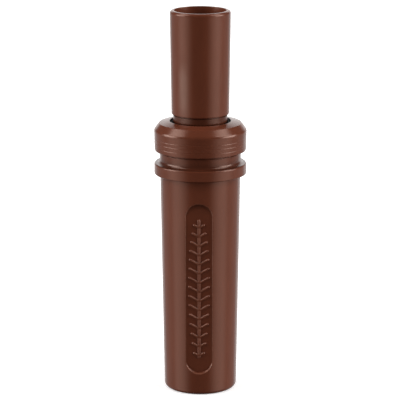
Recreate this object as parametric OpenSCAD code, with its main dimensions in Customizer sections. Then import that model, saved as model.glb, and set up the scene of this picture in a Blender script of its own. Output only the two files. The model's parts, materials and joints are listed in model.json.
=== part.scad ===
// Duck call: a one-piece barrel with a lanyard groove, and a plug-in insert that carries the tone board,
// two reeds, the cork wedge that clamps them and two sealing rings.
// The call stands on its mouth face, with +Z along the bore towards the exhaust end.

/* [Barrel] */
// Height of the barrel, from the mouth face to the lip round the insert
barrel_h = 100; // [97:0.5:106]
// Outer radius at the mouth face
mouth_r = 13.17; // [12.6:0.01:14]
// Outer radius just under the flange
waist_r = 14.5; // [13.8:0.01:14.6]
// Radius of the rounded outer edge of the mouth
mouth_edge = 1.6; // [0.4:0.1:2]
// Radius of the mouth bore
bore_r = 8; // [7.7:0.1:8.2]
// Length of the mouth bore, up to the reed chamber
bore_h = 32; // [20:1:33]
// Radius of the reed chamber
chamber_r = 8.6; // [8.4:0.1:9]

/* [Collar and lanyard groove] */
// Largest radius of the collar, at its shoulder
collar_r = 16.75; // [16:0.01:18]
// Radius of the collar at its lower edge
collar_low_r = 16.52; // [15.8:0.01:17.5]
// Height of the collar
collar_h = 10.9; // [9:0.1:13]
// Outer radius of the crown, where the shoulder starts
crown_r = 14.9; // [14.4:0.05:15.4]
// Height from the lip down to the shoulder's lower edge
shoulder_h = 3.3; // [2.6:0.1:4.4]
// Radius of the rounded edge between the shoulder and the collar's wall
shoulder_edge = 1.8; // [0.6:0.1:2.2]
// Slope of the crown, from the shoulder up to the lip
crown_slope = 12; // [5:0.1:20]
// Radius at the bottom of the lanyard groove
groove_r = 14.65; // [14.65:0.05:15.5]
// Width of the lanyard groove, along the call
groove_h = 4.55; // [3:0.05:6]
// Radius of the rounded inner corner between the groove and the flange
groove_fillet = 1.2; // [0.4:0.1:1.2]
// Radius of the flange under the groove
flange_r = 16.65; // [16:0.01:18]
// Height of the flange
flange_h = 4.05; // [3:0.05:6]

/* [Label panel] */
// Width of the recessed panel, which has round ends
panel_w = 9.7; // [8.4:0.1:11]
// Length of the recessed panel
panel_l = 63.6; // [56:0.1:66]
// Height of the panel's lower end above the mouth face
panel_z = 8.3; // [6:0.1:12]
// Depth of the panel's floor at its middle line
panel_depth = 1.1; // [0.6:0.1:1.6]
// Height of the feather ornament above the panel's floor
relief_h = 0.4; // [0.2:0.05:0.5]
// Number of barbs on each side of the feather's quill
barb_n = 15; // [8:1:18]

/* [Insert] */
// Height of the exhaust tube above its lower edge
exhaust_h = 37.5; // [30:0.5:45]
// Outer radius of the exhaust tube at its lower edge
exhaust_low_r = 10.42; // [10.2:0.01:10.8]
// Outer radius of the exhaust tube at its rim
exhaust_top_r = 10.95; // [10.7:0.01:11.4]
// Radius of the rounded outer edge of the rim
rim_edge = 0.95; // [0.4:0.05:1.1]
// Radius of the exhaust bore
exhaust_bore_r = 9.2; // [8.6:0.05:9.2]
// Depth of the exhaust bore, down to its cone
exhaust_bore_h = 18; // [12:0.5:22]
// Widening of the exhaust bore at its mouth, on the radius
flare_w = 0.2; // [0.1:0.05:0.35]
// Depth over which the mouth of the exhaust bore widens
flare_h = 2.6; // [1:0.1:4]
// Length of neck that shows between the lip and the exhaust tube
neck_gap = 2.5; // [1:0.1:4]
// Radius of the neck and the tenon
neck_r = 9.8; // [9.7:0.01:9.86]
// Length of the tenon inside the barrel
tenon_h = 20; // [19:0.5:24]

/* [Tone board] */
// Length of the tone board below the tenon
board_l = 42; // [36:0.5:44]
// Radius of the tone board's round back
board_r = 7.6; // [7.2:0.05:7.6]
// Gap between a flat reed and the tip of the board
lay_gap = 1.3; // [0.8:0.05:1.8]
// Length of the board's face that is flat, from the tenon down
lay_flat = 8; // [4:0.5:12]
// Radius of the tone channel
channel_r = 3.2; // [2.6:0.1:3.4]

/* [Reeds and wedge] */
// Thickness of each reed
reed_t = 0.25; // [0.2:0.01:0.3]
// Width of the lower reed
reed_w = 12.5; // [11:0.1:12.6]
// Length by which the lower reed passes the tip of the board
reed_over = 2.5; // [0.5:0.5:3]
// Length by which the upper reed is shorter than the lower one
reed_step = 2.5; // [1:0.5:4]
// Depth of the wedge slot in the end of the tenon
slot_h = 10; // [8:0.5:11]
// Length of wedge that stands out of the slot
wedge_out = 2; // [1:0.5:4]

/* [Sealing rings] */
// Thickness of the lower ring
lower_ring_t = 1.64; // [1.6:0.01:1.64]
// Thickness of the upper ring, which shows inside the lip
upper_ring_t = 1.44; // [1.4:0.01:1.44]

/* [Hidden] */
$fn = 128;

brown = [0.36, 0.20, 0.16];
black = [0.06, 0.05, 0.05];
film = [0.86, 0.80, 0.66];
cork = [0.72, 0.52, 0.34];

cut = 1;                // how far a cutting shape passes a face
small_edge = 0.35;      // rounding of the lower edges of the flange, the collar and the exhaust tube
flange_edge = 0.5;      // rounding of the flange's upper edge
play = 0.03;            // gap round a sealing ring, and between stacked pieces
slide_play = 0.1;       // radial gap between the tenon and its socket

// Heights along the barrel
collar_z = barrel_h - collar_h;
groove_z = collar_z - groove_h;
flange_z = groove_z - flange_h;
tenon_z = barrel_h - tenon_h;
socket_z = tenon_z - 0.05;
taper = (waist_r - mouth_r) / flange_z;
socket_r = neck_r + slide_play;
groove_corner = min(groove_fillet, flange_r - groove_r - flange_edge);
lip_r = 11;
lip_depth = 1.9;

// Outer edge of the crown, lean of the shoulder from upright, and the centre of the rounding under it
crown_z = barrel_h - (crown_r - lip_r) * tan(crown_slope);
shoulder_lean = atan((collar_r - crown_r) / (crown_z - barrel_h + shoulder_h));
shoulder_x = collar_r - shoulder_edge;
shoulder_z = barrel_h - shoulder_h - shoulder_edge * tan(shoulder_lean / 2);

// Label panel and its feather
panel_mid_z = panel_z + panel_l / 2;
panel_mid_r = mouth_r + taper * panel_mid_z;
feather_l = panel_l - 12.4;
feather_w = panel_w - 2;
quill_w = 0.8;
barb_w = 0.75;
barb_rise = 2.2;
barb_pitch = (feather_l - barb_rise - barb_w) / (barb_n - 1);

// Heights along the insert
exhaust_z = barrel_h + neck_gap;
top_z = exhaust_z + exhaust_h;
throat_r = 6;
throat_z = exhaust_z + 3.5;

// The tone board's face is the plane y = face_y, and the reeds lie on its -Y side
face_y = 0.5;
board_tip_z = tenon_z - board_l;
lay_z = tenon_z - lay_flat;
lay_l = lay_z - board_tip_z;
lay_r = lay_l * lay_l / (2 * lay_gap) + lay_gap / 2;
channel_y = face_y + 1.2;
channel_tip_z = board_tip_z + 7;

// Wedge slot, reeds and wedge
slot_x = 6.4;
slot_y = -5.2;
slot_top_z = tenon_z + slot_h;
stack_gap = 0.01;       // gap between the board, the reeds and the wedge
reed_tip_z = board_tip_z - reed_over;
reed_end_z = slot_top_z - 0.2;
reed_corner = 2;
dimple_r = 1.1;
dimple_h = 0.2;
dimple_z = board_tip_z + 14;
wedge_taper = 0.5;

// Sealing rings: the radius of each ring's middle line, and its height
ring_seat = 1.15;       // groove width as a multiple of the ring's thickness
lower_ring_r = socket_r - play - lower_ring_t / 2;
lower_ring_z = slot_top_z + 3.5;
upper_ring_r = lip_r - play - upper_ring_t / 2;
upper_ring_z = barrel_h - lip_depth / 2 - 0.05;

// Takes off a sharp corner at (r, z) and leaves a quarter round: side is 1 for an outer corner and -1 for
// the edge of a hole, rise is 1 for a corner at the top and -1 for one at the bottom.
module corner_off(r, z, edge, side, rise) {
    difference() {
        translate([side > 0 ? r - edge : r - cut, rise > 0 ? z - edge : z - cut]) square(edge + cut);
        translate([r - side * edge, z - rise * edge]) circle(edge);
    }
}

// Half section of the collar: near-upright wall, sloping shoulder with a rounded edge, flatter crown.
module collar_section() {
    polygon([
        [0, collar_z], [collar_low_r, collar_z], [collar_r, shoulder_z],
        [shoulder_x + shoulder_edge * cos(shoulder_lean), shoulder_z + shoulder_edge * sin(shoulder_lean)],
        [crown_r, crown_z], [lip_r, barrel_h], [0, barrel_h]
    ]);
    translate([shoulder_x, shoulder_z]) intersection() {
        circle(shoulder_edge);
        square(shoulder_edge);
    }
}

// Half section of everything hollow in the barrel: mouth bore, reed chamber, socket and lip.
module barrel_hollow_section() {
    step_h = chamber_r - bore_r;
    translate([0, -cut]) square([bore_r, bore_h + 2 * cut]);
    polygon([
        [0, bore_h], [bore_r, bore_h], [chamber_r, bore_h + step_h], [chamber_r, socket_z + cut],
        [0, socket_z + cut]
    ]);
    translate([0, socket_z]) square([socket_r, tenon_h + cut]);
    translate([0, barrel_h - lip_depth]) square([lip_r, lip_depth + cut]);
    corner_off(bore_r, 0, 0.8, -1, -1);
    corner_off(lip_r, barrel_h, 0.25, -1, 1);
}

// Half section of the rounded corner between the groove and the flange.
module groove_corner_section() {
    translate([groove_r, groove_z]) difference() {
        square(groove_corner);
        translate([groove_corner, groove_corner]) circle(groove_corner);
    }
}

module barrel_section() {
    difference() {
        union() {
            polygon([[0, 0], [mouth_r, 0], [waist_r, flange_z], [0, flange_z]]);
            translate([0, flange_z]) square([flange_r, flange_h]);
            translate([0, flange_z]) square([groove_r, flange_h + groove_h]);
            groove_corner_section();
            collar_section();
        }
        barrel_hollow_section();
        corner_off(mouth_r, 0, mouth_edge, 1, -1);
        corner_off(flange_r, flange_z, small_edge, 1, -1);
        corner_off(flange_r, groove_z, flange_edge, 1, 1);
        corner_off(collar_low_r, collar_z, small_edge, 1, -1);
    }
}

// Outline of the recessed panel: a bar with round ends.
module panel_outline() {
    run = panel_l - panel_w;
    square([panel_w, run], center = true);
    for (end = [-1, 1]) translate([0, end * run / 2]) circle(d = panel_w);
}

// One barb of the feather; side is 1 for the right of the quill and -1 for the left.
module barb(reach, side) {
    rise = barb_rise * reach * 2 / feather_w;
    polygon([[0, 0], [side * reach, rise], [side * reach, rise + barb_w], [0, barb_w]]);
}

// Outline of the feather: a quill with paired barbs, shorter towards both ends.
module feather_outline() {
    square([quill_w, feather_l], center = true);
    for (i = [0 : barb_n - 1]) {
        reach = feather_w / 2 * sqrt(sin(180 * (i + 1.5) / (barb_n + 2)));
        translate([0, i * barb_pitch - feather_l / 2]) {
            barb(reach, 1);
            barb(reach, -1);
        }
    }
}

// What the label panel takes out of the barrel, leaving the feather standing on its floor.
module panel_cutter() {
    translate([0, -panel_mid_r, panel_mid_z]) rotate([90 + atan(taper), 0, 0]) difference() {
        translate([0, 0, -panel_depth]) linear_extrude(panel_depth + cut) panel_outline();
        translate([0, 0, -panel_depth - cut]) linear_extrude(relief_h + cut) feather_outline();
    }
}

module barrel() {
    color(brown) difference() {
        rotate_extrude() barrel_section();
        panel_cutter();
    }
}

// Half section of a sealing ring's seat in the tenon.
module ring_seat_section(ring_r, ring_z, ring_t) {
    seat_w = ring_t * ring_seat;
    translate([ring_r - ring_t / 2 - play, ring_z - seat_w / 2]) square([ring_t + cut, seat_w]);
}

// Half section of the exhaust bore: widened mouth, straight bore and a cone down to the throat.
module exhaust_hollow_section() {
    polygon([
        [0, throat_z], [throat_r, throat_z], [exhaust_bore_r, top_z - exhaust_bore_h],
        [exhaust_bore_r, top_z - flare_h], [exhaust_bore_r + flare_w, top_z],
        [exhaust_bore_r + flare_w, top_z + cut], [0, top_z + cut]
    ]);
}

module insert_section() {
    difference() {
        union() {
            polygon([[0, exhaust_z], [exhaust_low_r, exhaust_z], [exhaust_top_r, top_z], [0, top_z]]);
            translate([0, tenon_z]) square([neck_r, exhaust_z - tenon_z + cut]);
        }
        corner_off(exhaust_low_r, exhaust_z, small_edge, 1, -1);
        corner_off(exhaust_top_r, top_z, rim_edge, 1, 1);
        exhaust_hollow_section();
        ring_seat_section(lower_ring_r, lower_ring_z, lower_ring_t);
        ring_seat_section(upper_ring_r, upper_ring_z, upper_ring_t);
    }
}

// Everything on the back of the reed face: flat under the wedge, then a long curve away to the tip.
module lay_envelope() {
    width = 2 * board_r + cut;
    translate([-width / 2, face_y, lay_z]) cube([width, width, tenon_z - lay_z + cut]);
    translate([0, face_y + lay_r, lay_z]) rotate([0, 90, 0])
        cylinder(r = lay_r, h = width, center = true, $fn = 1440);
}

// The board seen from the reeds: parallel sides and a round tip.
module board_plan() {
    translate([0, 0, board_tip_z + board_r]) rotate([-90, 0, 0]) cylinder(r = board_r, h = board_r + cut);
    translate([-board_r, 0, board_tip_z + board_r]) cube([2 * board_r, board_r + cut, board_l]);
}

module tone_board() {
    intersection() {
        translate([0, 0, board_tip_z]) cylinder(r = board_r, h = board_l + cut);
        lay_envelope();
        board_plan();
    }
}

// The channel under the reeds, and the hole that carries it on through the tenon to the throat.
module tone_channel() {
    channel_h = throat_z - channel_tip_z;
    translate([0, channel_y, channel_tip_z]) {
        cylinder(r = channel_r, h = channel_h + cut);
        sphere(channel_r);
    }
    translate([-channel_r, slot_y, channel_tip_z])
        cube([2 * channel_r, channel_y - slot_y, slot_top_z - channel_tip_z]);
}

module wedge_slot() {
    translate([-slot_x, slot_y, tenon_z - cut]) cube([2 * slot_x, face_y - slot_y, slot_h + cut]);
}

module insert() {
    color(brown) difference() {
        union() {
            rotate_extrude() insert_section();
            tone_board();
        }
        tone_channel();
        wedge_slot();
    }
}

module sealing_ring(ring_r, ring_z, ring_t) {
    color(black) rotate_extrude() translate([ring_r, ring_z]) circle(d = ring_t);
}

// A reed lying flat: its near face at y = back_y, a square end in the slot and round corners at the tip.
module reed(width, tip_z, back_y) {
    side = width / 2 - reed_corner;
    translate([0, back_y, 0]) rotate([90, 0, 0]) linear_extrude(reed_t) {
        translate([-width / 2, tip_z + reed_corner]) square([width, reed_end_z - tip_z - reed_corner]);
        translate([-side, tip_z]) square([2 * side, 2 * reed_corner]);
        for (x = [-side, side]) translate([x, tip_z + reed_corner]) circle(reed_corner);
    }
}

module lower_reed() {
    color(film) reed(reed_w, reed_tip_z, face_y - stack_gap);
}

// The upper reed has a small dome pressed into it, which keeps the two reeds from sticking together.
module upper_reed() {
    back_y = face_y - 2 * stack_gap - reed_t;
    dome_r = (dimple_r * dimple_r + dimple_h * dimple_h) / (2 * dimple_h);
    color(film) {
        reed(reed_w - 0.5, reed_tip_z + reed_step, back_y);
        intersection() {
            translate([0, back_y - reed_t - dimple_h + dome_r, dimple_z]) sphere(dome_r);
            translate([-dimple_r, back_y - reed_t - dimple_h, dimple_z - dimple_r])
                cube([2 * dimple_r, dimple_h + reed_t / 2, 2 * dimple_r]);
        }
    }
}

// The cork wedge: flat on the reeds, and thinner at its inner end.
module wedge_block() {
    low_z = tenon_z - wedge_out;
    near_y = face_y - 3 * stack_gap - 2 * reed_t;
    far_y = slot_y + play;
    wide = 2 * slot_x - 0.2;
    color(cork) translate([-wide / 2, 0, 0]) rotate([90, 0, 90]) linear_extrude(wide) polygon([
        [near_y, low_z], [near_y, reed_end_z], [far_y + wedge_taper, reed_end_z], [far_y, low_z]
    ]);
}

barrel();
insert();
sealing_ring(upper_ring_r, upper_ring_z, upper_ring_t);  // upper_o_ring
sealing_ring(lower_ring_r, lower_ring_z, lower_ring_t);  // lower_o_ring
lower_reed();
upper_reed();
wedge_block();
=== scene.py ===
import json
import math

import bmesh
import bpy
import numpy as np
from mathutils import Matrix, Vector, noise


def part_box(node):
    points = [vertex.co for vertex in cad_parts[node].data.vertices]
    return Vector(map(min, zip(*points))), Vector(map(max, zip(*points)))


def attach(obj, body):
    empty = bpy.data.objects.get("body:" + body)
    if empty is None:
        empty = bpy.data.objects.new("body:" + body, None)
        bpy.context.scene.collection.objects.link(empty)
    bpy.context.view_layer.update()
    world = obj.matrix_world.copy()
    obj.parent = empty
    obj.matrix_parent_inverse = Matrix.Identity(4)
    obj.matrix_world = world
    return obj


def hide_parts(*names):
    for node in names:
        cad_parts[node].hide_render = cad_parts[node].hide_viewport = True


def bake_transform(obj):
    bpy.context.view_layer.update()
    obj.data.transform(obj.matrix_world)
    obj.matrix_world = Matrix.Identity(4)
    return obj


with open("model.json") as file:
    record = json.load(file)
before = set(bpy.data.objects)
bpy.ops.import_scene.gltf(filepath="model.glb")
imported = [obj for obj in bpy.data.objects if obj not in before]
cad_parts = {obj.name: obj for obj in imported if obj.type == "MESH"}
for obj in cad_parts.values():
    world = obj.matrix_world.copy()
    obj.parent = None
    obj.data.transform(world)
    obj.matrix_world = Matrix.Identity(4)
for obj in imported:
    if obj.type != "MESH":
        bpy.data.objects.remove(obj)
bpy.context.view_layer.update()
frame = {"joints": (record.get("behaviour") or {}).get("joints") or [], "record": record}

# A moulded duck call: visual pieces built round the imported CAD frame. Sizes named here are in millimetres.
MM = 0.001
mounts = {m["name"]: m for m in frame["record"]["mounts"]}
joints = {j["name"]: j for j in frame["joints"]}


def node_range(node, axis):
    """Lowest and highest coordinate of a CAD node along one axis, in millimetres."""
    low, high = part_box(node)
    return low[axis] / MM, high[axis] / MM


# ---------------------------------------------------------------- driving sizes
X, Y, Z = 0, 1, 2
BARREL_TOP = node_range("barrel", Z)[1]
CALL_TOP = node_range("insert", Z)[1]
BOARD_TIP = node_range("insert", Z)[0]
COLLAR_R = node_range("barrel", X)[1]
MOUTH_BORE_R = mounts["mouth_bore"]["dims"]["r_mm"]
EXHAUST_BORE_R = mounts["exhaust_bore"]["dims"]["r_mm"]
EXHAUST_BORE_L = mounts["exhaust_bore"]["dims"]["length_mm"]
GROOVE_R = mounts["lanyard_groove"]["dims"]["r_mm"]
GROOVE_HIGH = mounts["lanyard_groove"]["pos_m"][Z] / MM + mounts["lanyard_groove"]["dims"]["length_mm"] / 2

# Barrel
MOUTH_R, WAIST_R = 13.17, 14.5
OUTSIDE_R = 12.5                   # the barrel's outside is wider than this, and its inside narrower
CHAMBER_R, CHAMBER_Z = 8.6, 32.0
MOUTH_EDGE, BORE_EDGE, FLANGE_EDGE, GROOVE_CORNER = 1.6, 0.8, 0.5, 1.2
SMALL_EDGE, CROWN_EDGE, SOCKET_EDGE, CHAMBER_EDGE = 0.35, 0.25, 0.15, 0.1
FLANGE_R, FLANGE_H, GROOVE_H = 16.65, 4.05, 4.55
GROOVE_LOW = GROOVE_HIGH - GROOVE_H
FLANGE_LOW = GROOVE_LOW - FLANGE_H
COLLAR_LOW_R, CROWN_SLOPE = 16.52, math.radians(12)
SHOULDER_H, SHOULDER_EDGE = 3.3, 1.8
CROWN_R = 14.9                     # outer edge of the crown, where the sloping shoulder ends
LIP_R, LIP_DEPTH = 11.0, 1.9
TENON_Z, SOCKET_GAP = BARREL_TOP - 20, 0.05
SOCKET_R, TENON_R = 9.9, 9.8
TAPER = (WAIST_R - MOUTH_R) / FLANGE_LOW

# Recessed panel and the feather that stands on its floor
PANEL_W, PANEL_L, PANEL_LOW, PANEL_DEPTH = 9.7, 63.6, 8.3, 1.1
PANEL_MID = PANEL_LOW + PANEL_L / 2
RELIEF_H = 0.4
BARB_N, BARB_W, BARB_RISE, QUILL_W = 15, 0.75, 2.2, 0.8
FEATHER_L, FEATHER_W = PANEL_L - 12.4, PANEL_W - 2
WALL_RUN = 0.3                     # how far the panel's wall leans over its height
BARB_FADE = (-0.16, 0.12)          # the feather's edge falls between these distances from its outline
PANEL_RUB = (0.12, 0.14)           # a rubbed line along the panel's edge: its distance and its width
BARB_RUB = (-0.14, 0.12)           # the same along the feather's edge
PATCH_SIDE = 1.7                   # plain surface kept round the panel in the fine mesh
CELL = 0.145                       # size of the fine mesh's cells
COARSE_ROWS, COARSE_COLUMNS = 31, 126

# Insert
EXHAUST_LOW_R, EXHAUST_TOP_R = 10.42, 10.95
EXHAUST_Z = BARREL_TOP + 2.5
THROAT_R, THROAT_Z = 6.0, EXHAUST_Z + 3.5
RIM_EDGE, RIM_INNER_EDGE = 0.95, 0.12
FLARE_W, FLARE_H, FLARE_EDGE = 0.2, 2.6, 2.0   # how far the exhaust bore's mouth opens, and over what depth
TENON_EDGE, CONE_EDGE, THROAT_EDGE = 0.3, 0.8, 0.4
UPPER_RING_R, UPPER_RING_T, UPPER_RING_Z = 10.25, 1.44, BARREL_TOP - 1.0
LOWER_RING_R, LOWER_RING_T, LOWER_RING_Z = 9.05, 1.64, TENON_Z + 13.5
SEAT_SHARE, RING_PLAY = 1.15, 0.03 # a seat's height as a share of its ring's, and its play round the ring
SEAT_EDGE, SEAT_CORNER = 0.08, 0.12
FLASH_H, FLASH_SHARE = 0.012, 0.12 # flash line on a ring: its height, and its half width to the ring's radius
FACE_Y = joints["lower_reed_flex"]["pos_m"][Y] / MM
LAY_Z = joints["lower_reed_flex"]["pos_m"][Z] / MM
BOARD_R, LAY_GAP = 7.6, 1.3
CHANNEL_R, CHANNEL_Y, CHANNEL_TIP = 3.2, FACE_Y + 1.2, BOARD_TIP + 7
SLOT_X, SLOT_Y, SLOT_TOP = 6.4, -5.2, TENON_Z + 10
REED_T, REED_CORNER = 0.25, 2.0
DIMPLE_R, DIMPLE_H, DIMPLE_Z = 1.3, 0.2, BOARD_TIP + 14
WEDGE_LEAD_IN, WEDGE_EDGE = 0.5, 0.3
PIT_DEPTH, COARSE_PIT, FINE_PIT = 0.07, 0.9, 0.35

RIDGE_H, RIDGE_W = 0.045, 0.28     # mould parting line up both sides
CREASE_D, CREASE_EDGE = 0.35, 0.05 # relief cut into a wall right under an overhanging edge
SCORE_D, SCORE_H, SCORE_EDGE = 0.03, 0.3, 0.03   # fine turned lines round the collar
SCORE_ZS = (BARREL_TOP - 9.2, BARREL_TOP - 7.6, BARREL_TOP - 6.2)
PAINTED_REFLECTION_X, PAINTED_REFLECTION_Z = (-8.4, -3.2), (100, 124)    # a painted reflection: a pale patch on the exhaust tube, left of its front


# ---------------------------------------------------------------- mesh helpers
# Rounded corners are cut into steps of these angles: a finer one for fillets above SMALL_FILLET
SMALL_FILLET = 0.6
WIDE_STEP, SMALL_STEP = math.radians(11), math.radians(18)


def outline(corners):
    """A closed (r, z) outline through corners (r, z, fillet), each rounded by its own fillet, with a point
    set close to both ends of every fillet so that smooth shading stays flat on the walls between them."""
    points = []
    count = len(corners)
    for i, (r, z, fillet) in enumerate(corners):
        here = np.array((r, z))
        before = np.array(corners[i - 1][:2]) - here
        after = np.array(corners[(i + 1) % count][:2]) - here
        run_in, run_out = np.linalg.norm(before), np.linalg.norm(after)
        before, after = before / run_in, after / run_out
        half = math.acos(max(-1, min(1, float(before @ after)))) / 2
        if fillet <= 0:
            points.append(here)
            continue
        back = fillet / math.tan(half)
        middle = here + (before + after) / np.linalg.norm(before + after) * fillet / math.sin(half)
        start, end = here + before * back, here + after * back
        a0 = math.atan2(*(start - middle)[::-1])
        turn = math.atan2(*(end - middle)[::-1]) - a0
        turn = (turn + math.pi) % (2 * math.pi) - math.pi
        step = WIDE_STEP if fillet > SMALL_FILLET else SMALL_STEP
        pieces = max(3, math.ceil(abs(turn) / step))
        guard = min(0.12, 0.2 * min(run_in, run_out))
        points.append(start + before * guard)
        for k in range(pieces + 1):
            a = a0 + turn * k / pieces
            points.append(middle + fillet * np.array((math.cos(a), math.sin(a))))
        points.append(end + after * guard)
    return points


def mesh_object(name, verts_mm, faces, smooth=True):
    """A mesh object from vertices in millimetres, with its normals made to point outwards."""
    mesh = bpy.data.meshes.new(name)
    mesh.from_pydata([tuple(float(c) * MM for c in v) for v in verts_mm], [], faces)
    bm = bmesh.new()
    bm.from_mesh(mesh)
    bmesh.ops.recalc_face_normals(bm, faces=bm.faces)
    bm.to_mesh(mesh)
    bm.free()
    for polygon in mesh.polygons:
        polygon.use_smooth = smooth
    obj = bpy.data.objects.new(name, mesh)
    bpy.context.scene.collection.objects.link(obj)
    return obj


def lathe(name, profile, turns, closed=True):
    """Turns an (r, z) profile round Z. Points on the axis become one pole."""
    verts, rings = [], []
    for r, z in profile:
        if r < 1e-6:
            rings.append([len(verts)] * turns)
            verts.append((0, 0, z))
            continue
        ring = []
        for k in range(turns):
            a = 2 * math.pi * k / turns
            ring.append(len(verts))
            verts.append((r * math.cos(a), r * math.sin(a), z))
        rings.append(ring)
    faces = []
    pairs = list(zip(rings, rings[1:] + rings[:1])) if closed else list(zip(rings, rings[1:]))
    for low, high in pairs:
        for k in range(turns):
            n = (k + 1) % turns
            face = [low[k], low[n], high[n], high[k]]
            face = [v for i, v in enumerate(face) if v != face[i - 1]]
            if len(face) > 2:
                faces.append(face)
    return mesh_object(name, verts, faces)


def smoothstep(low, high, value):
    """0 below low, 1 above high and a smooth rise between."""
    t = np.clip((value - low) / (high - low), 0, 1)
    return t * t * (3 - 2 * t)


def parting_ridge(angle):
    """Height of the fine ridge that the mould leaves at +X and -X, at an angle round from -Y."""
    off = abs(math.cos(angle)) * MOUTH_R
    return RIDGE_H * max(0.0, 1 - off / (RIDGE_W / 2))


# ---------------------------------------------------------------- barrel
def panel_distance(x, along):
    """Signed distance to the panel's outline, negative inside; along is measured from the panel's middle."""
    run = (PANEL_L - PANEL_W) / 2
    past = np.maximum(np.abs(along) - run, 0)
    return np.hypot(x, past) - PANEL_W / 2


def stroke_distance(x, along, a, b, half_width):
    """Signed distance to a round-ended bar from a to b."""
    ab = (b[0] - a[0], b[1] - a[1])
    t = ((x - a[0]) * ab[0] + (along - a[1]) * ab[1]) / (ab[0] ** 2 + ab[1] ** 2)
    t = np.clip(t, 0, 1)
    return np.hypot(x - a[0] - t * ab[0], along - a[1] - t * ab[1]) - half_width


def feather_distance(x, along):
    """Signed distance to the feather: a quill with paired barbs, shorter towards both ends."""
    bottom = -FEATHER_L / 2
    found = stroke_distance(x, along, (0, bottom), (0, -bottom), QUILL_W / 2)
    pitch = (FEATHER_L - BARB_RISE - BARB_W) / (BARB_N - 1)
    for i in range(BARB_N):
        reach = FEATHER_W / 2 * math.sqrt(math.sin(math.pi * (i + 1.5) / (BARB_N + 2)))
        rise = BARB_RISE * reach * 2 / FEATHER_W
        root = bottom + i * pitch + BARB_W / 2
        slant = math.hypot(reach, rise) / reach
        half = BARB_W / 2 / slant
        for side in (-1, 1):
            tip = (side * (reach - half), root + rise * (1 - half / reach))
            found = np.minimum(found, stroke_distance(x, along, (0, root), tip, half))
    return found


def line_strength(distance, middle, width):
    """1 in the middle of a soft line, falling to 0 on both sides."""
    return np.exp(-((distance - middle) / width) ** 2)


def panel_surface(x, z):
    """y of the barrel's front at (x, z), and how strongly the point is a raised or broken edge."""
    radius = MOUTH_R + TAPER * z
    skin = -np.sqrt(radius ** 2 - x ** 2)
    along = (z - PANEL_MID) / math.cos(math.atan(TAPER))
    outside = panel_distance(x, along)
    raised = feather_distance(x, along)
    floor = -(radius - PANEL_DEPTH) - RELIEF_H * (1 - smoothstep(*BARB_FADE, raised))
    open_share = 1 - smoothstep(-WALL_RUN / 2, WALL_RUN / 2, outside)
    y = skin + (np.maximum(floor, skin) - skin) * open_share
    edge = line_strength(outside, *PANEL_RUB) + 0.8 * line_strength(raised, *BARB_RUB)
    return y, np.clip(edge, 0, 1)


def crease(wall_r, edge_z, height):
    """Corners of a small relief cut into a wall, from its lower end up to the overhanging edge at edge_z."""
    low_z = edge_z - height
    return [(wall_r, low_z, CREASE_EDGE), (wall_r - CREASE_D, low_z + CREASE_D / 4, CREASE_EDGE),
            (wall_r - CREASE_D, edge_z, CREASE_EDGE)]


def score(height):
    """Corners of one turned line round the collar."""
    run = (height - GROOVE_HIGH) / (BARREL_TOP - GROOVE_HIGH)
    wall_r = COLLAR_LOW_R + (COLLAR_R - COLLAR_LOW_R) * run
    return [(wall_r, height - SCORE_H / 2, SCORE_EDGE), (wall_r - SCORE_D, height, SCORE_EDGE),
            (wall_r, height + SCORE_H / 2, SCORE_EDGE)]


def barrel_outline():
    """The barrel's closed half section, anticlockwise from the inner edge of the mouth."""
    crown_edge_z = BARREL_TOP - (CROWN_R - LIP_R) * math.tan(CROWN_SLOPE)
    lip_floor_z, socket_z = BARREL_TOP - LIP_DEPTH, TENON_Z - SOCKET_GAP
    return outline([
        (MOUTH_BORE_R, 0, BORE_EDGE), (MOUTH_R, 0, MOUTH_EDGE),
        *crease(WAIST_R, FLANGE_LOW, 0.5), (FLANGE_R, FLANGE_LOW, SMALL_EDGE),
        (FLANGE_R, GROOVE_LOW, FLANGE_EDGE),
        (GROOVE_R, GROOVE_LOW, GROOVE_CORNER), *crease(GROOVE_R, GROOVE_HIGH, 0.75),
        (COLLAR_LOW_R, GROOVE_HIGH, SMALL_EDGE), *(corner for z in SCORE_ZS for corner in score(z)),
        (COLLAR_R, BARREL_TOP - SHOULDER_H, SHOULDER_EDGE), (CROWN_R, crown_edge_z, CROWN_EDGE),
        (LIP_R, BARREL_TOP, CROWN_EDGE), (LIP_R, lip_floor_z, SOCKET_EDGE),
        (SOCKET_R, lip_floor_z, SOCKET_EDGE), (SOCKET_R, socket_z, SOCKET_EDGE),
        (CHAMBER_R, socket_z, SOCKET_EDGE),
        (CHAMBER_R, CHAMBER_Z + CHAMBER_R - MOUTH_BORE_R, CHAMBER_EDGE),
        (MOUTH_BORE_R, CHAMBER_Z, CHAMBER_EDGE),
    ])


def zipper(left, right, height):
    """Triangles between two upright rows of vertices that run between the same two heights."""
    faces, i, j = [], 0, 0
    while i < len(left) - 1 or j < len(right) - 1:
        if j == len(right) - 1 or (i < len(left) - 1 and height[left[i + 1]] <= height[right[j + 1]]):
            faces.append([left[i], right[j], left[i + 1]])
            i += 1
        else:
            faces.append([left[i], right[j], right[j + 1]])
            j += 1
    return faces


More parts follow.
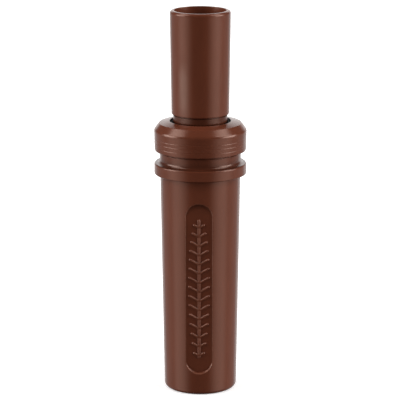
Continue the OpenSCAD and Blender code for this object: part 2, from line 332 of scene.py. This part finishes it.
def build_barrel():
    """One closed mesh: turned columns all round, with a fine grid in front where the panel is."""
    profile = barrel_outline()
    wall = next(i for i in range(len(profile) - 1) if profile[i + 1][1] - profile[i][1] > PANEL_L)
    before, after = profile[:wall + 1], profile[wall + 1:]
    low_z, high_z = PANEL_LOW - PATCH_SIDE, PANEL_LOW + PANEL_L + PATCH_SIDE
    fine = list(np.linspace(low_z, high_z, int((high_z - low_z) / CELL) + 1))
    coarse = list(np.linspace(low_z, high_z, COARSE_ROWS))

    half = PANEL_W / 2 + PATCH_SIDE
    xs = np.linspace(-half, half, int(2 * half / CELL) + 1)
    patch_angles = [math.asin(x / (MOUTH_R + TAPER * PANEL_MID)) for x in xs]
    edge_angle = patch_angles[-1]
    rest = list(np.linspace(edge_angle, 2 * math.pi - edge_angle, COARSE_COLUMNS))[1:-1]
    seam = RIDGE_W / 2 / MOUTH_R
    for side in (math.pi / 2, 3 * math.pi / 2):
        rest = [a for a in rest if abs(a - side) > seam * 1.5] + [side - seam, side, side + seam]
    columns = [(a, x) for a, x in zip(patch_angles, xs)] + [(a, None) for a in sorted(rest)]

    verts, wear, loops = [], [], []
    for angle, x in columns:
        # angle 0 looks at -Y, and grows towards +X
        s, c = math.sin(angle), -math.cos(angle)
        ids = []

        def put(r, z):
            lift = parting_ridge(angle) if r > OUTSIDE_R else 0.0
            ids.append(len(verts))
            verts.append(((r + lift) * s, (r + lift) * c, z))
            wear.append(0.0)

        for r, z in before:
            put(r, z)
        if x is None:
            for z in coarse:
                put(MOUTH_R + TAPER * z, z)
        else:
            zs = np.array(fine)
            px = (MOUTH_R + TAPER * zs) * s
            ys, edges = panel_surface(px, zs)
            for k, z in enumerate(fine):
                ids.append(len(verts))
                verts.append((px[k], ys[k], z))
                wear.append(float(edges[k]))
        for r, z in after:
            put(r, z)
        loops.append(ids)

    height = [v[2] for v in verts]
    faces = []
    for k, left in enumerate(loops):
        right = loops[(k + 1) % len(loops)]
        if len(left) == len(right):
            pairs = [(left, right)]
        else:
            n = len(before)
            pairs = [(left[:n + 1], right[:n + 1]), (left[-len(after) - 1:], right[-len(after) - 1:])]
            faces += zipper(left[n:-len(after)], right[n:-len(after)], height)
        for a, b in pairs:
            faces += [[a[i], b[i], b[i + 1], a[i + 1]] for i in range(len(a) - 1)]
        faces.append([left[-1], right[-1], right[0], left[0]])
    barrel = mesh_object("barrel_moulding", verts, faces)
    layer = barrel.data.attributes.new("wear", "FLOAT", "POINT")
    layer.data.foreach_set("value", np.array(wear, np.float32))
    return barrel


# ---------------------------------------------------------------- insert
def ring_seat(ring_r, ring_t, ring_z, wall_r):
    """The four corners of a ring's seat in the tenon, from the lower edge up."""
    floor_r = ring_r - ring_t / 2 - RING_PLAY
    low, high = ring_z - ring_t * SEAT_SHARE / 2, ring_z + ring_t * SEAT_SHARE / 2
    return [(wall_r, low, SEAT_EDGE), (floor_r, low, SEAT_CORNER),
            (floor_r, high, SEAT_CORNER), (wall_r, high, SEAT_EDGE)]


def insert_outline():
    """The insert's closed half section without its board, anticlockwise from the axis at the tenon's end."""
    return outline([
        (0.0, TENON_Z, 0), (TENON_R, TENON_Z, TENON_EDGE),
        *ring_seat(LOWER_RING_R, LOWER_RING_T, LOWER_RING_Z, TENON_R),
        *ring_seat(UPPER_RING_R, UPPER_RING_T, UPPER_RING_Z, TENON_R),
        *crease(TENON_R, EXHAUST_Z, 0.45), (EXHAUST_LOW_R, EXHAUST_Z, SMALL_EDGE),
        (EXHAUST_TOP_R, CALL_TOP, RIM_EDGE), (EXHAUST_BORE_R + FLARE_W, CALL_TOP, RIM_INNER_EDGE),
        (EXHAUST_BORE_R, CALL_TOP - FLARE_H, FLARE_EDGE),
        (EXHAUST_BORE_R, CALL_TOP - FLARE_H - EXHAUST_BORE_L, CONE_EDGE),
        (THROAT_R, THROAT_Z, THROAT_EDGE), (0.0, THROAT_Z, 0),
    ])


def block(name, low, high):
    """A plain closed block, used only to cut with."""
    (x0, y0, z0), (x1, y1, z1) = low, high
    verts = [(x, y, z) for z in (z0, z1) for x, y in ((x0, y0), (x1, y0), (x1, y1), (x0, y1))]
    faces = [[0, 3, 2, 1], [4, 5, 6, 7], [0, 1, 5, 4], [1, 2, 6, 5], [2, 3, 7, 6], [3, 0, 4, 7]]
    return mesh_object(name, verts, faces, smooth=False)


def tone_board_blank():
    """The board before its channel is cut: a round-backed bar whose face falls away towards a round tip."""
    top = TENON_Z + 2                  # a little way into the tenon, to join it
    lay_l = LAY_Z - BOARD_TIP
    tip_part = 1 - np.cos(np.linspace(0, math.pi / 2, 15)[1:])
    stations = list(BOARD_TIP + BOARD_R * tip_part) + list(np.linspace(BOARD_TIP + BOARD_R, top, 34)[1:])
    steps = 40
    verts, sections = [], []
    for z in stations:
        below = max(0.0, LAY_Z - z)
        face = FACE_Y + LAY_GAP * (below / lay_l) ** 2
        short = max(0.0, BOARD_TIP + BOARD_R - z)
        wide = math.sqrt(BOARD_R ** 2 - short ** 2)
        wide = min(wide, math.sqrt(BOARD_R ** 2 - face ** 2))
        section = []
        for k in range(steps + 1):
            x = wide * math.cos(math.pi * k / steps)
            section.append((x, math.sqrt(max(BOARD_R ** 2 - x ** 2, face ** 2)), z))
        sections.append([len(verts) + i for i in range(len(section) + 2)])
        verts += section + [(-wide, face, z), (wide, face, z)]
    faces = [list(reversed(sections[0])), sections[-1]]
    for low, high in zip(sections, sections[1:]):
        count = len(low)
        faces += [[low[i], low[(i + 1) % count], high[(i + 1) % count], high[i]] for i in range(count)]
    return mesh_object("tone_board_blank", verts, faces, smooth=False)


def channel_cutter():
    """The tone channel: a round-bottomed groove with a round end, running on as a hole up to the throat."""
    profile = [(0.0, CHANNEL_TIP - CHANNEL_R)]
    profile += [(CHANNEL_R * math.sin(a), CHANNEL_TIP - CHANNEL_R * math.cos(a))
                for a in np.linspace(0, math.pi / 2, 9)[1:]]
    profile += [(CHANNEL_R, THROAT_Z + 1), (0.0, THROAT_Z + 1)]
    cutter = lathe("channel_cutter", profile, 48, closed=False)
    for v in cutter.data.vertices:
        v.co.y += CHANNEL_Y * MM
    return cutter


def combine(target, tool, operation):
    """Joins the tool to a closed mesh or cuts it away, and deletes the tool."""
    change = target.modifiers.new("combine", "BOOLEAN")
    change.operation, change.object, change.solver = operation, tool, "EXACT"
    depsgraph = bpy.context.evaluated_depsgraph_get()
    mesh = bpy.data.meshes.new_from_object(target.evaluated_get(depsgraph))
    target.modifiers.remove(change)
    target.data = mesh
    bpy.data.objects.remove(tool)
    return target


def soften(obj):
    """Smooth shading with crisp creases."""
    for polygon in obj.data.polygons:
        polygon.use_smooth = True
    obj.data.set_sharp_from_angle(angle=math.radians(32))
    weighted = obj.modifiers.new("weighted_normals", "WEIGHTED_NORMAL")
    weighted.keep_sharp = True
    return obj


def build_insert():
    """Exhaust tube, neck, tenon and tone board: one moulding."""
    insert = lathe("insert_moulding", insert_outline(), 160, closed=False)
    combine(insert, tone_board_blank(), "UNION")
    combine(insert, channel_cutter(), "DIFFERENCE")
    slot = block("slot_cutter", (-SLOT_X, SLOT_Y, TENON_Z - 1), (SLOT_X, FACE_Y, SLOT_TOP))
    combine(insert, slot, "DIFFERENCE")
    groove = block("groove_cutter", (-CHANNEL_R, FACE_Y - 3, CHANNEL_TIP), (CHANNEL_R, CHANNEL_Y, SLOT_TOP))
    combine(insert, groove, "DIFFERENCE")
    return soften(insert)


# ---------------------------------------------------------------- rings, reeds and wedge
def build_ring(name, ring_r, ring_t, ring_z):
    """A rubber ring with the fine flash line of its mould inside and outside."""
    steps = 28
    profile = []
    for k in range(steps):
        a = 2 * math.pi * k / steps
        flash = FLASH_H * max(0.0, 1 - abs(math.sin(a)) / FLASH_SHARE)
        reach = ring_t / 2 + flash
        profile.append((ring_r + reach * math.cos(a), ring_z + reach * math.sin(a)))
    return lathe(name, profile, 144)


def build_reed(name, node, dome=False):
    """A film reed: a thin plate with round corners at the tip, fine enough to bend smoothly."""
    low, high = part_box(node)
    width, tip, end = (high.x - low.x) / MM, low.z / MM, high.z / MM
    back, rows, across = high.y / MM, 72, 16
    corner_z = tip + REED_CORNER
    tip_rows = tip + REED_CORNER * (1 - np.cos(np.linspace(0, math.pi / 2, 8)))
    zs = list(tip_rows) + list(np.linspace(corner_z, end, rows)[1:])
    verts, front, rear = [], [], []
    for z in zs:
        short = max(0.0, corner_z - z)
        wide = width / 2 - REED_CORNER + math.sqrt(REED_CORNER ** 2 - short ** 2)
        for side, rows_of in ((0, rear), (1, front)):
            row = []
            for k in range(across + 1):
                x = wide * (2 * k / across - 1)
                away = min(1, math.hypot(x, z - DIMPLE_Z) / DIMPLE_R)
                rise = DIMPLE_H * (0.5 + 0.5 * math.cos(math.pi * away)) if dome and side else 0
                row.append(len(verts))
                verts.append((x, back - REED_T * side - rise, z))
            rows_of.append(row)
    faces = []
    for i in range(len(zs) - 1):
        for k in range(across):
            faces.append([front[i][k], front[i][k + 1], front[i + 1][k + 1], front[i + 1][k]])
            faces.append([rear[i][k], rear[i + 1][k], rear[i + 1][k + 1], rear[i][k + 1]])
        for k in (0, across):
            faces.append([front[i][k], front[i + 1][k], rear[i + 1][k], rear[i][k]])
    for i in (0, len(zs) - 1):
        faces += [[front[i][k], front[i][k + 1], rear[i][k + 1], rear[i][k]] for k in range(across)]
    reed = mesh_object(name, verts, faces)
    reed.data.set_sharp_from_angle(angle=math.radians(40))
    return reed


def build_wedge():
    """The cork wedge, with softly worn edges and the shallow pits of cut cork."""
    low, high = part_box("wedge_block")
    x1, y0, y1, z0, z1 = high.x / MM, low.y / MM, high.y / MM, low.z / MM, high.z / MM
    side = ((y1, z0), (y1, z1), (y0 + WEDGE_LEAD_IN, z1), (y0, z0))
    verts = [(x, y, z) for x in (-x1, x1) for y, z in side]
    faces = [[0, 1, 2, 3], [7, 6, 5, 4], [0, 4, 5, 1], [1, 5, 6, 2], [2, 6, 7, 3], [3, 7, 4, 0]]
    wedge = mesh_object("cork_wedge", verts, faces)
    bm = bmesh.new()
    bm.from_mesh(wedge.data)
    bmesh.ops.bevel(bm, geom=bm.edges[:], offset=WEDGE_EDGE * MM, segments=3, profile=0.5, affect="EDGES")
    bmesh.ops.subdivide_edges(bm, edges=[e for e in bm.edges if e.calc_length() > 2 * MM], cuts=28,
                              use_grid_fill=True)
    bmesh.ops.recalc_face_normals(bm, faces=bm.faces)
    bm.normal_update()
    for v in bm.verts:
        pit = noise.noise(v.co / (COARSE_PIT * MM)) + 0.5 * noise.noise(v.co / (FINE_PIT * MM))
        v.co -= v.normal * MM * PIT_DEPTH * max(0.0, pit)
    bm.to_mesh(wedge.data)
    bm.free()
    for polygon in wedge.data.polygons:
        polygon.use_smooth = True
    return wedge


# ---------------------------------------------------------------- materials
def new_material(name):
    material = bpy.data.materials.new(name)
    material.use_nodes = True
    tree = material.node_tree
    return material, tree, tree.nodes["Principled BSDF"]


def object_coordinates(tree):
    """Places on the piece itself, in metres, so that the pattern moves with it."""
    return tree.nodes.new("ShaderNodeTexCoord").outputs["Object"]


def stretched(tree, scale):
    """Object coordinates scaled along each axis: a pattern on them runs along the axis scaled least."""
    mapping = tree.nodes.new("ShaderNodeMapping")
    mapping.inputs["Scale"].default_value = scale
    tree.links.new(object_coordinates(tree), mapping.inputs["Vector"])
    return mapping.outputs["Vector"]


def noise_value(tree, vector, scale, detail=4.0, rough=0.55):
    """Cloudy noise from 0 to 1, with scale in clouds per metre."""
    node = tree.nodes.new("ShaderNodeTexNoise")
    node.inputs["Scale"].default_value = scale
    node.inputs["Detail"].default_value = detail
    node.inputs["Roughness"].default_value = rough
    tree.links.new(vector, node.inputs["Vector"])
    return node.outputs["Fac"]


def remap(tree, value, from_low, from_high, to_low, to_high, smooth=False):
    """A value carried from one range to another and held at its ends."""
    node = tree.nodes.new("ShaderNodeMapRange")
    if smooth:
        node.interpolation_type = "SMOOTHSTEP"
    for socket, number in zip(("From Min", "From Max", "To Min", "To Max"),
                              (from_low, from_high, to_low, to_high)):
        node.inputs[socket].default_value = number
    tree.links.new(value, node.inputs["Value"])
    return node.outputs["Result"]


def calculate(tree, operation, a, b):
    """One sum on a and b, each a number or another node's output."""
    node = tree.nodes.new("ShaderNodeMath")
    node.operation = operation
    for socket, value in zip(node.inputs, (a, b)):
        if isinstance(value, (int, float)):
            socket.default_value = value
        else:
            tree.links.new(value, socket)
    return node.outputs[0]


def mix_colours(tree, factor, a, b):
    """Mixes two colours, each a colour tuple or another node's output."""
    node = tree.nodes.new("ShaderNodeMix")
    node.data_type = "RGBA"
    tree.links.new(factor, node.inputs["Factor"])
    for socket, value in ((node.inputs[6], a), (node.inputs[7], b)):
        if isinstance(value, tuple):
            socket.default_value = (*value, 1)
        else:
            tree.links.new(value, socket)
    return node.outputs[2]


def bump(tree, shader, height, strength, distance):
    """Fine relief in the shading only; distance is in metres."""
    node = tree.nodes.new("ShaderNodeBump")
    node.inputs["Strength"].default_value = strength
    node.inputs["Distance"].default_value = distance
    tree.links.new(height, node.inputs["Height"])
    tree.links.new(node.outputs["Normal"], shader.inputs["Normal"])


def between(tree, place, low, high, rise, fall):
    """1 between two places in millimetres and 0 outside, with soft ends as long as rise and fall."""
    return calculate(tree, "MULTIPLY",
                     remap(tree, place, low * MM, (low + rise) * MM, 0, 1, True),
                     remap(tree, place, (high - fall) * MM, high * MM, 1, 0, True))


def brown_plastic(name, rub=None, painted_shade=None, painted_reflection=None):
    """Moulded brown plastic with a satin gloss: faint flow mottling, fine grain and rubbed edges. In
    millimetres, rub is where a cord has rubbed faint streaks round it, the third argument is a band darkened
    as painted shade in a recess, with how soft the ends of that band are, and the last is where a pale
    painted reflection lies."""
    material, tree, shader = new_material(name)
    here = object_coordinates(tree)
    mottle = noise_value(tree, stretched(tree, (1, 1, 0.35)), 160, 5)
    base = mix_colours(tree, remap(tree, mottle, 0.3, 0.7, 0, 1),
                       (0.116, 0.0305, 0.0150), (0.134, 0.0355, 0.0175))
    worn = tree.nodes.new("ShaderNodeAttribute")
    worn.attribute_name = "wear"
    patchy = remap(tree, noise_value(tree, here, 900, 3), 0.3, 0.65, 0.35, 1)
    rubbed = calculate(tree, "MULTIPLY", worn.outputs["Fac"], patchy)
    base = mix_colours(tree, calculate(tree, "MULTIPLY", rubbed, 0.55), base, (0.30, 0.125, 0.080))
    split = tree.nodes.new("ShaderNodeSeparateXYZ")
    tree.links.new(here, split.inputs[0])

    haze = noise_value(tree, here, 420, 4)
    rough = remap(tree, haze, 0.25, 0.75, 0.17, 0.25)
    height = noise_value(tree, here, 1100, 3)
    # Painted shade: inside the given band of heights the colour is darkened towards near black, standing in
    # for a recess's shade.
    if painted_shade is not None:
        dark = calculate(tree, "MULTIPLY", between(tree, split.outputs["Z"], *painted_shade), 0.5)
        base = mix_colours(tree, dark, base, (0.02, 0.005, 0.002))
    # Painted reflection: a pale patch on the front of the piece, standing in for a bright reflection on the
    # tube.
    if painted_reflection is not None:
        pale = calculate(tree, "MULTIPLY", between(tree, split.outputs["X"], *PAINTED_REFLECTION_X, 2.5, 2.5),
                         between(tree, split.outputs["Z"], *painted_reflection, 8, 8))
        front = remap(tree, split.outputs["Y"], 0, -2 * MM, 0, 1)
        pale = calculate(tree, "MULTIPLY", calculate(tree, "MULTIPLY", pale, front),
                         remap(tree, mottle, 0.3, 0.7, 0.2, 0.4))
        base = mix_colours(tree, pale, base, (0.30, 0.19, 0.15))
    tree.links.new(base, shader.inputs["Base Color"])
    if rub is not None:
        streak = noise_value(tree, stretched(tree, (6, 6, 900)), 1.0, 3)
        inside = between(tree, split.outputs["Z"], *rub, 1, 1)
        streaks = calculate(tree, "MULTIPLY", remap(tree, streak, 0.48, 0.68, 0, 1), inside)
        rough = calculate(tree, "ADD", rough, calculate(tree, "MULTIPLY", streaks, 0.12))
        height = calculate(tree, "SUBTRACT", height, streaks)
    tree.links.new(rough, shader.inputs["Roughness"])
    shader.inputs["IOR"].default_value = 1.5
    shader.inputs["Specular Tint"].default_value = (1.0, 0.68, 0.56, 1)
    bump(tree, shader, height, 0.1, 0.00006)
    return material


def black_rubber():
    """Matt black rubber with a fine grain."""
    material, tree, shader = new_material("black_rubber")
    here = object_coordinates(tree)
    grain = noise_value(tree, here, 2200, 4)
    tree.links.new(mix_colours(tree, grain, (0.003, 0.003, 0.003), (0.008, 0.007, 0.007)),
                   shader.inputs["Base Color"])
    tree.links.new(remap(tree, grain, 0.3, 0.7, 0.6, 0.8), shader.inputs["Roughness"])
    shader.inputs["Specular IOR Level"].default_value = 0.05
    bump(tree, shader, grain, 0.25, 0.0001)
    return material


def reed_film():
    """Frosted polyester film with fine draw lines along the reed."""
    material, tree, shader = new_material("reed_film")
    lines = noise_value(tree, stretched(tree, (4000, 40, 60)), 1.0, 3)
    cloud = noise_value(tree, object_coordinates(tree), 300, 4)
    tree.links.new(mix_colours(tree, cloud, (0.74, 0.70, 0.60), (0.86, 0.84, 0.76)),
                   shader.inputs["Base Color"])
    tree.links.new(remap(tree, cloud, 0.3, 0.7, 0.22, 0.38), shader.inputs["Roughness"])
    shader.inputs["Transmission Weight"].default_value = 0.55
    shader.inputs["IOR"].default_value = 1.5
    bump(tree, shader, lines, 0.15, 0.00005)
    return material


def cork():
    """Fine-grained cork: pale tan with darker flecks and pores."""
    material, tree, shader = new_material("cork_grain")
    here = object_coordinates(tree)
    cells = tree.nodes.new("ShaderNodeTexVoronoi")
    cells.inputs["Scale"].default_value = 1100
    tree.links.new(here, cells.inputs["Vector"])
    grain = noise_value(tree, here, 700, 6, 0.65)
    base = mix_colours(tree, remap(tree, grain, 0.35, 0.65, 0, 1), (0.36, 0.20, 0.095), (0.60, 0.39, 0.21))
    flecks = remap(tree, noise_value(tree, stretched(tree, (1, 2.2, 1)), 1500, 4), 0.58, 0.68, 0, 0.85)
    tree.links.new(mix_colours(tree, flecks, base, (0.13, 0.06, 0.03)), shader.inputs["Base Color"])
    tree.links.new(remap(tree, grain, 0.3, 0.7, 0.75, 0.92), shader.inputs["Roughness"])
    bump(tree, shader, calculate(tree, "ADD", grain, cells.outputs["Distance"]), 0.5, 0.0002)
    return material


def paint(obj, material, body=None):
    """Gives a piece its material and slot, and the body that it rides unless it blends between two."""
    obj.data.materials.clear()
    obj.data.materials.append(material)
    if body:
        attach(obj, body)


# ---------------------------------------------------------------- studio
def studio_floor():
    """A plain pale floor. Only the camera sees it: the light it would throw comes from the surroundings."""
    side = 1600
    corners = [(-side, -side, 0), (side, -side, 0), (side, side, 0), (-side, side, 0)]
    floor = mesh_object("studio_floor", corners, [[0, 1, 2, 3]], smooth=False)
    material, tree, shader = new_material("pale_floor")
    tone = noise_value(tree, object_coordinates(tree), 6, 2)
    white = mix_colours(tree, tone, (0.93, 0.93, 0.93), (0.95, 0.95, 0.95))
    tree.links.new(white, shader.inputs["Base Color"])
    shader.inputs["Roughness"].default_value = 0.9
    shader.inputs["Emission Color"].default_value = (1, 1, 1, 1)
    shader.inputs["Emission Strength"].default_value = 0.45
    floor.data.materials.append(material)
    floor.visible_diffuse = floor.visible_glossy = floor.visible_transmission = False


# Panels of light: degrees round from the front, degrees up, and radiance. A panel fades in between the first
# two angles and out between the last two.
TABLE = (-60, -30, -6, 4)
STUDIO_PANELS = (
    ((56, 66, 92, 106), (-8, 2, 16, 28), 7.4),      # side softboxes, their lower half
    ((44, 56, 90, 104), (22, 34, 50, 59), 4.6),     # their upper half
    ((84, 98, 140, 158), (44, 52, 58, 66), 3.4),    # the bend of both over the back
    ((22, 62, 72, 104), TABLE, 1.45),               # the table beside the call
    ((60, 61, 200, 220), TABLE, 0.45),              # the table behind it
    ((128, 150, 200, 220), TABLE, 0.9),             # and by the backdrop
    ((140, 160, 190, 200), (-8, 0, 20, 32), 1.3),   # white backdrop
)


def window(tree, round_deg, up_deg, rounds, ups, radiance):
    """A soft-edged panel of light, with the angles where it fades in and out."""
    parts = [remap(tree, angle, low, high, 0, 1, True)
             for angle, (low, high) in ((round_deg, rounds[:2]), (up_deg, ups[:2]))]
    parts += [remap(tree, angle, low, high, 1, 0, True)
              for angle, (low, high) in ((round_deg, rounds[2:]), (up_deg, ups[2:]))]
    shape = calculate(tree, "MULTIPLY", calculate(tree, "MULTIPLY", parts[0], parts[1]),
                      calculate(tree, "MULTIPLY", parts[2], parts[3]))
    return calculate(tree, "MULTIPLY", shape, radiance)


def studio_world():
    """Soft surroundings, dark in front where the camera stands: a softbox on either side that bends over
    behind the call, a white table lit by them and a white backdrop. The camera sees plain white."""
    world = bpy.data.worlds.new("studio")
    bpy.context.scene.world = world
    world.use_nodes = True
    tree = world.node_tree
    tree.nodes.clear()
    ways = tree.nodes.new("ShaderNodeTexCoord")
    split = tree.nodes.new("ShaderNodeSeparateXYZ")
    tree.links.new(ways.outputs["Generated"], split.inputs[0])
    aside = calculate(tree, "ABSOLUTE", split.outputs["X"], 0)
    round_deg = calculate(tree, "MULTIPLY", calculate(
        tree, "ARCTAN2", aside, calculate(tree, "MULTIPLY", split.outputs["Y"], -1)), math.degrees(1))
    up_deg = calculate(tree, "MULTIPLY", calculate(tree, "ARCSINE", split.outputs["Z"], 0), math.degrees(1))

    light = remap(tree, round_deg, 30, 150, 0.06, 0.1)
    for rounds, ups, radiance in STUDIO_PANELS:
        panel = window(tree, round_deg, up_deg, rounds, ups, radiance)
        light = calculate(tree, "MAXIMUM", light, panel)

    soft = tree.nodes.new("ShaderNodeBackground")
    tree.links.new(light, soft.inputs["Strength"])
    plain = tree.nodes.new("ShaderNodeBackground")
    path = tree.nodes.new("ShaderNodeLightPath")
    mix = tree.nodes.new("ShaderNodeMixShader")
    out = tree.nodes.new("ShaderNodeOutputWorld")
    tree.links.new(path.outputs["Is Camera Ray"], mix.inputs[0])
    tree.links.new(soft.outputs[0], mix.inputs[1])
    tree.links.new(plain.outputs[0], mix.inputs[2])
    tree.links.new(mix.outputs[0], out.inputs["Surface"])
    for node in (soft, plain):
        node.inputs["Color"].default_value = (1, 1, 1, 1)


def studio_camera():
    """A long lens, a little above the call and looking down on it."""
    distance, height = 0.7816, 0.2555          # metres from the call's axis, and up from the floor
    tilt, swing, aim = 13.33, 2.06, 2.068      # degrees down, round to the right, and turned back left
    data = bpy.data.cameras.new("camera")
    data.sensor_width, data.lens = 36, 198.5
    data.clip_start, data.clip_end = 0.01, 20
    camera = bpy.data.objects.new("camera", data)
    turn = math.radians(swing)
    camera.location = (distance * math.sin(turn), -distance * math.cos(turn), height)
    camera.rotation_euler = (math.radians(90 - tilt), 0, math.radians(aim))
    bpy.context.scene.collection.objects.link(camera)
    bpy.context.scene.camera = camera


# ---------------------------------------------------------------- the call
barrel = build_barrel()
# Painted shade in the lanyard groove: darkest at its lower corner and fading up its wall.
barrel_brown = brown_plastic("barrel_brown", rub=(GROOVE_HIGH + 0.6, GROOVE_HIGH + 6),
                             painted_shade=(GROOVE_LOW - 0.3, GROOVE_LOW + 3.6, 0.3, 2.8))
paint(barrel, barrel_brown, "barrel")
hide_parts("barrel")

insert = build_insert()
# Painted shade on the neck under the exhaust tube's overhang, and a pale painted reflection on the tube's
# front.
insert_brown = brown_plastic("insert_brown", painted_shade=(BARREL_TOP - 1, EXHAUST_Z, 0.3, 0.3), painted_reflection=PAINTED_REFLECTION_Z)
paint(insert, insert_brown, "insert")
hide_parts("insert")

rubber = black_rubber()
for ring_name, ring_node, sizes in (
        ("upper_seal", "upper_o_ring", (UPPER_RING_R, UPPER_RING_T, UPPER_RING_Z)),
        ("lower_seal", "lower_o_ring", (LOWER_RING_R, LOWER_RING_T, LOWER_RING_Z))):
    ring = build_ring(ring_name, *sizes)
    paint(ring, rubber, "seal_rings")
    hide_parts(ring_node)

film = reed_film()
for reed_name, body, dome in (("lower_film_reed", "lower_reed", False),
                              ("upper_film_reed", "upper_reed", True)):
    reed = build_reed(reed_name, body, dome)
    paint(reed, film)
    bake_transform(reed)
    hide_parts(body)

wedge = build_wedge()
paint(wedge, cork(), "wedge_block")
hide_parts("wedge_block")

studio_floor()
studio_world()
studio_camera()
bpy.context.scene.view_settings.view_transform = "Standard"
